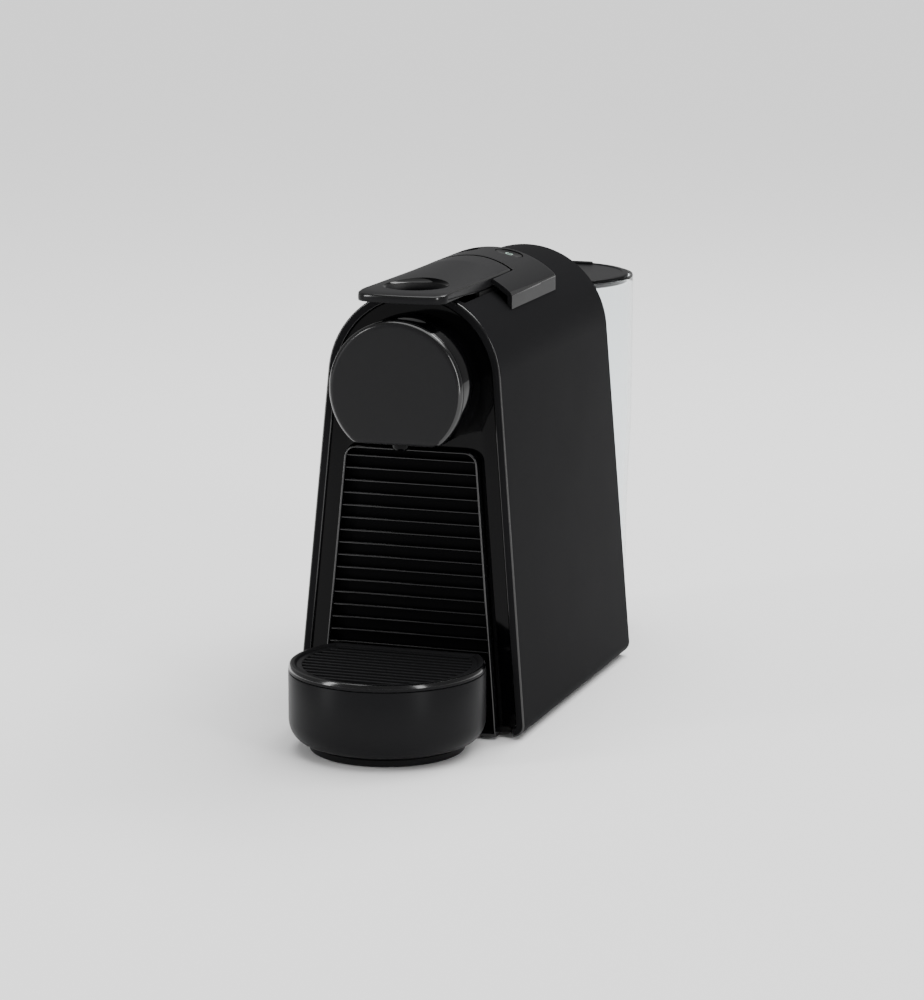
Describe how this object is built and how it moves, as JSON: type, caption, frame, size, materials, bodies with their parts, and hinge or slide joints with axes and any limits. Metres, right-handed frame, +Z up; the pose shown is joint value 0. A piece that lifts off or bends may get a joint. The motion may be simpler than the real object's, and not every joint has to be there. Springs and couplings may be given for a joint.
{
  "type": "pod coffee machine",
  "caption": "Slim capsule espresso machine with a lift lever over an arched body, louvred drawer with round drip tray, and a clear water tank behind.",
  "frame": {"origin": "on the table under the middle of the machine's outline, from drip tray front to tank rear", "axes": "+X to the right seen from the front, +Y to the back, +Z up"},
  "size_m": [0.1092, 0.325, 0.2066],
  "materials": {
    "satin_black": "satin moulded black",
    "gloss_black": "high gloss moulded black",
    "soft_black": "satin soft black",
    "inner_black": "matt moulded black",
    "rubber": "matt",
    "clear_plastic": "clear polished",
    "white_plastic": "moulded natural white",
    "grey_plastic": "moulded dark grey",
    "steel": "brushed",
    "aluminium": "cast",
    "brass": "turned",
    "circuit_green": "solder mask",
    "hose": "translucent silicone"
  },
  "bodies": {
    "housing": {"outer_shell": "satin_black", "rear_panel": "satin_black", "tank_cradle": "satin_black", "front_panel": "gloss_black", "nose_housing": "gloss_black", "coffee_outlet": "gloss_black", "nose_face": "soft_black", "saddle_cover": "soft_black", "base_plate": "inner_black", "divider_wall": "inner_black", "rubber_foot_front_left": "rubber", "rubber_foot_front_right": "rubber", "rubber_foot_rear_left": "rubber", "rubber_foot_rear_right": "rubber", "cable_gland": "rubber", "tank_seal": "rubber", "pump_mount_lower": "rubber", "pump_mount_upper": "rubber", "pump_body": "white_plastic", "flow_meter": "white_plastic", "thermal_fuse": "white_plastic", "outlet_duct": "grey_plastic", "brew_frame_left": "grey_plastic", "brew_frame_right": "grey_plastic", "capsule_guide": "grey_plastic", "switch_left": "grey_plastic", "switch_right": "grey_plastic", "base_screw_front_left": "steel", "base_screw_front_right": "steel", "base_screw_rear_left": "steel", "base_screw_rear_right": "steel", "hinge_pin_left": "steel", "hinge_pin_right": "steel", "extraction_plate": "steel", "pump_coil": "steel", "thermoblock": "aluminium", "power_board": "circuit_green", "button_board": "circuit_green", "tank_hose": "hose", "suction_hose": "hose", "pressure_hose": "hose"},
    "lever": {"lever_handle": "soft_black", "lever_cam_left": "grey_plastic", "lever_cam_right": "grey_plastic"},
    "cage": {"brew_cage": "white_plastic", "cage_pin": "steel", "cage_seal": "rubber", "piercing_plate": "steel", "inlet_fitting": "brass"},
    "drawer": {"drawer_front": "gloss_black", "capsule_container": "inner_black", "drip_tray": "satin_black"},
    "grid": {"drip_grid": "soft_black"},
    "tank": {"water_tank": "clear_plastic", "lid_hinge_pin": "steel", "tank_valve": "white_plastic"},
    "lid": {"tank_lid": "satin_black"},
    "valve": {"valve_plunger": "grey_plastic"},
    "left_button": {"button_left": "gloss_black"},
    "right_button": {"button_right": "gloss_black"}
  },
  "joints": [
    {"name": "lever_hinge", "type": "hinge", "parent": "housing", "child": "lever", "pos_m": [0, -0.02, 0.186], "axis": [-1, 0, 0], "range_deg": [0, 78]},
    {"name": "cage_slide", "type": "slide", "parent": "housing", "child": "cage", "axis": [0, 1, 0], "range_m": [0, 0.03]},
    {"name": "drawer_slide", "type": "slide", "parent": "housing", "child": "drawer", "axis": [0, -1, 0], "range_m": [0, 0.1]},
    {"name": "grid_lift", "type": "slide", "parent": "drawer", "child": "grid", "axis": [0, 0, 1], "range_m": [0, 0.03]},
    {"name": "tank_lift", "type": "slide", "parent": "housing", "child": "tank", "axis": [0, 0, 1], "range_m": [0, 0.19]},
    {"name": "lid_hinge", "type": "hinge", "parent": "tank", "child": "lid", "pos_m": [0, 0.0892, 0.1799], "axis": [1, 0, 0], "range_deg": [0, 95]},
    {"name": "valve_lift", "type": "slide", "parent": "tank", "child": "valve", "axis": [0, 0, 1], "range_m": [0, 0.002], "stiffness_N_per_m": 150, "springref_m": -0.001},
    {"name": "left_button_press", "type": "slide", "parent": "housing", "child": "left_button", "axis": [0.2306, 0, -0.973], "range_m": [0, 0.001], "stiffness_N_per_m": 400, "springref_m": -0.001},
    {"name": "right_button_press", "type": "slide", "parent": "housing", "child": "right_button", "axis": [-0.2306, 0, -0.973], "range_m": [0, 0.001], "stiffness_N_per_m": 400, "springref_m": -0.001}
  ],
  "couplings": [
    {"joint": "cage_slide", "follows": "lever_hinge", "m_per_rad": 0.021596}
  ]
}
